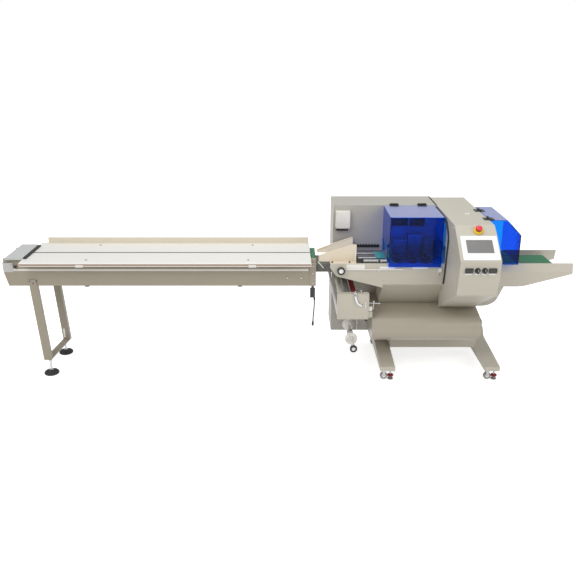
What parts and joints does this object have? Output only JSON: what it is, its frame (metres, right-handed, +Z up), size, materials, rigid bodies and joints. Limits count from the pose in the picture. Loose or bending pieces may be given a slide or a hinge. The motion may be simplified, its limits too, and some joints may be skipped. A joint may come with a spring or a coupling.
{
  "type": "horizontal flow wrapper",
  "caption": "Horizontal flow wrapper: a long chain infeed conveyor, a forming box, a fin-seal unit under a hinged guard, an arched control console and a belt outfeed on a caster base.",
  "frame": {"origin": "on the floor, in the middle of the whole line", "axes": "+X along the line from infeed to outfeed, -Y towards the operator, +Z up"},
  "size_m": [3.75, 1.0626, 1.143],
  "materials": {
    "grey_paint": "fine textured powder coat",
    "white_paint": "satin paint",
    "cream_paint": "satin paint",
    "cream_plastic": "low-friction rail",
    "machined_steel": "machined",
    "chrome": "polished",
    "chain_steel": "oiled",
    "dark_metal": "satin black",
    "blue_guard": "clear blue acrylic sheet",
    "black_plastic": "moulded",
    "grey_plastic": "moulded",
    "wheel_rubber": "moulded",
    "red_rubber": "smooth sleeve",
    "green_belt": "smooth belt",
    "white_plastic": "bezel",
    "screen": "blank screen",
    "yellow_plastic": "bezel",
    "red_plastic": "mushroom head",
    "meter_plastic": "dark window",
    "cable_jacket": "matt jacket"
  },
  "bodies": {
    "frame": {"base_frame": "grey_paint", "bed_guide_rail": "cream_plastic", "bed_plate_back": "white_paint", "bed_plate_front": "white_paint", "caster_forks": "machined_steel", "caster_pads": "grey_plastic", "caster_wheels": "wheel_rubber", "clamp_screw": "chrome", "console": "grey_paint", "deck_plates": "grey_paint", "drum_housing": "grey_paint", "film_drive_box": "grey_paint", "film_spindles": "machined_steel", "film_table": "machined_steel", "fin_seal_heads": "machined_steel", "fin_seal_wheels": "dark_metal", "forming_box": "cream_paint", "hinge_bases": "black_plastic", "infeed_chain": "chain_steel", "infeed_end_brackets": "cream_paint", "infeed_end_cover": "cream_paint", "infeed_feet": "machined_steel", "infeed_leg_frame": "grey_paint", "infeed_side_back": "grey_paint", "infeed_side_front": "grey_paint", "infeed_sprockets": "machined_steel", "infeed_ties": "machined_steel", "link_bracket": "grey_paint", "lower_housing": "grey_paint", "outfeed_belt": "green_belt", "outfeed_rollers": "machined_steel", "panel_meters": "meter_plastic", "rear_cabinet": "grey_paint", "reel_hub": "dark_metal", "screen_bezel": "white_plastic", "sensor_lead": "cable_jacket", "sensor_plug": "black_plastic", "sensor_socket": "grey_paint", "side_plate_back": "grey_paint", "side_plate_front": "grey_paint", "stop_button_base": "yellow_plastic", "touch_screen": "screen", "transfer_belt": "green_belt", "wall_box": "grey_paint"},
    "front_guard": {"front_guard": "blue_guard", "front_hinge_leaves": "black_plastic"},
    "outfeed_guard": {"outfeed_guard": "blue_guard", "outfeed_hinge_leaves": "black_plastic"},
    "film_reel_shaft": {"reel_shaft": "chrome", "reel_cones": "machined_steel"},
    "film_roller_left": {"film_roller_left": "cream_plastic"},
    "film_roller_middle": {"film_roller_middle": "grey_plastic"},
    "film_roller_right": {"film_roller_right": "red_rubber"},
    "handwheel": {"handwheel": "grey_plastic"},
    "stop_button": {"stop_button": "red_plastic"},
    "selector_knob_left": {"selector_knob_left": "black_plastic"},
    "selector_knob_right": {"selector_knob_right": "black_plastic"}
  },
  "joints": [
    {"name": "front_guard_hinge", "type": "hinge", "parent": "frame", "child": "front_guard", "pos_m": [0.8305, 0.23383, 1.136], "axis": [-1, 0, 0], "range_deg": [0, 95]},
    {"name": "outfeed_guard_hinge", "type": "hinge", "parent": "frame", "child": "outfeed_guard", "pos_m": [1.2795, -0.025, 1.132], "axis": [0, -1, 0], "range_deg": [0, 95]},
    {"name": "reel_turn", "type": "hinge", "parent": "frame", "child": "film_reel_shaft", "pos_m": [0.44, 0, 0.28], "axis": [0, 1, 0], "continuous": true},
    {"name": "film_roller_left_turn", "type": "hinge", "parent": "frame", "child": "film_roller_left", "pos_m": [0.358, 0, 0.605], "axis": [0, 1, 0], "continuous": true},
    {"name": "film_roller_middle_turn", "type": "hinge", "parent": "frame", "child": "film_roller_middle", "pos_m": [0.405, 0, 0.605], "axis": [0, 1, 0], "continuous": true},
    {"name": "film_roller_right_turn", "type": "hinge", "parent": "frame", "child": "film_roller_right", "pos_m": [0.448, 0, 0.605], "axis": [0, 1, 0], "continuous": true},
    {"name": "handwheel_turn", "type": "hinge", "parent": "frame", "child": "handwheel", "pos_m": [0.356, 0, 0.774], "axis": [0, 1, 0], "continuous": true},
    {"name": "stop_button_press", "type": "slide", "parent": "frame", "child": "stop_button", "axis": [0, 0.5361, -0.8441], "range_m": [0, 0.004], "stiffness_N_per_m": 2000, "springref_m": -0.002},
    {"name": "selector_left_turn", "type": "hinge", "parent": "frame", "child": "selector_knob_left", "pos_m": [1.137, -0.50742, 0.9], "axis": [0, -0.9941, -0.1088], "range_deg": [-45, 45]},
    {"name": "selector_right_turn", "type": "hinge", "parent": "frame", "child": "selector_knob_right", "pos_m": [1.18, -0.50742, 0.9], "axis": [0, -0.9941, -0.1088], "range_deg": [-45, 45]}
  ]
}
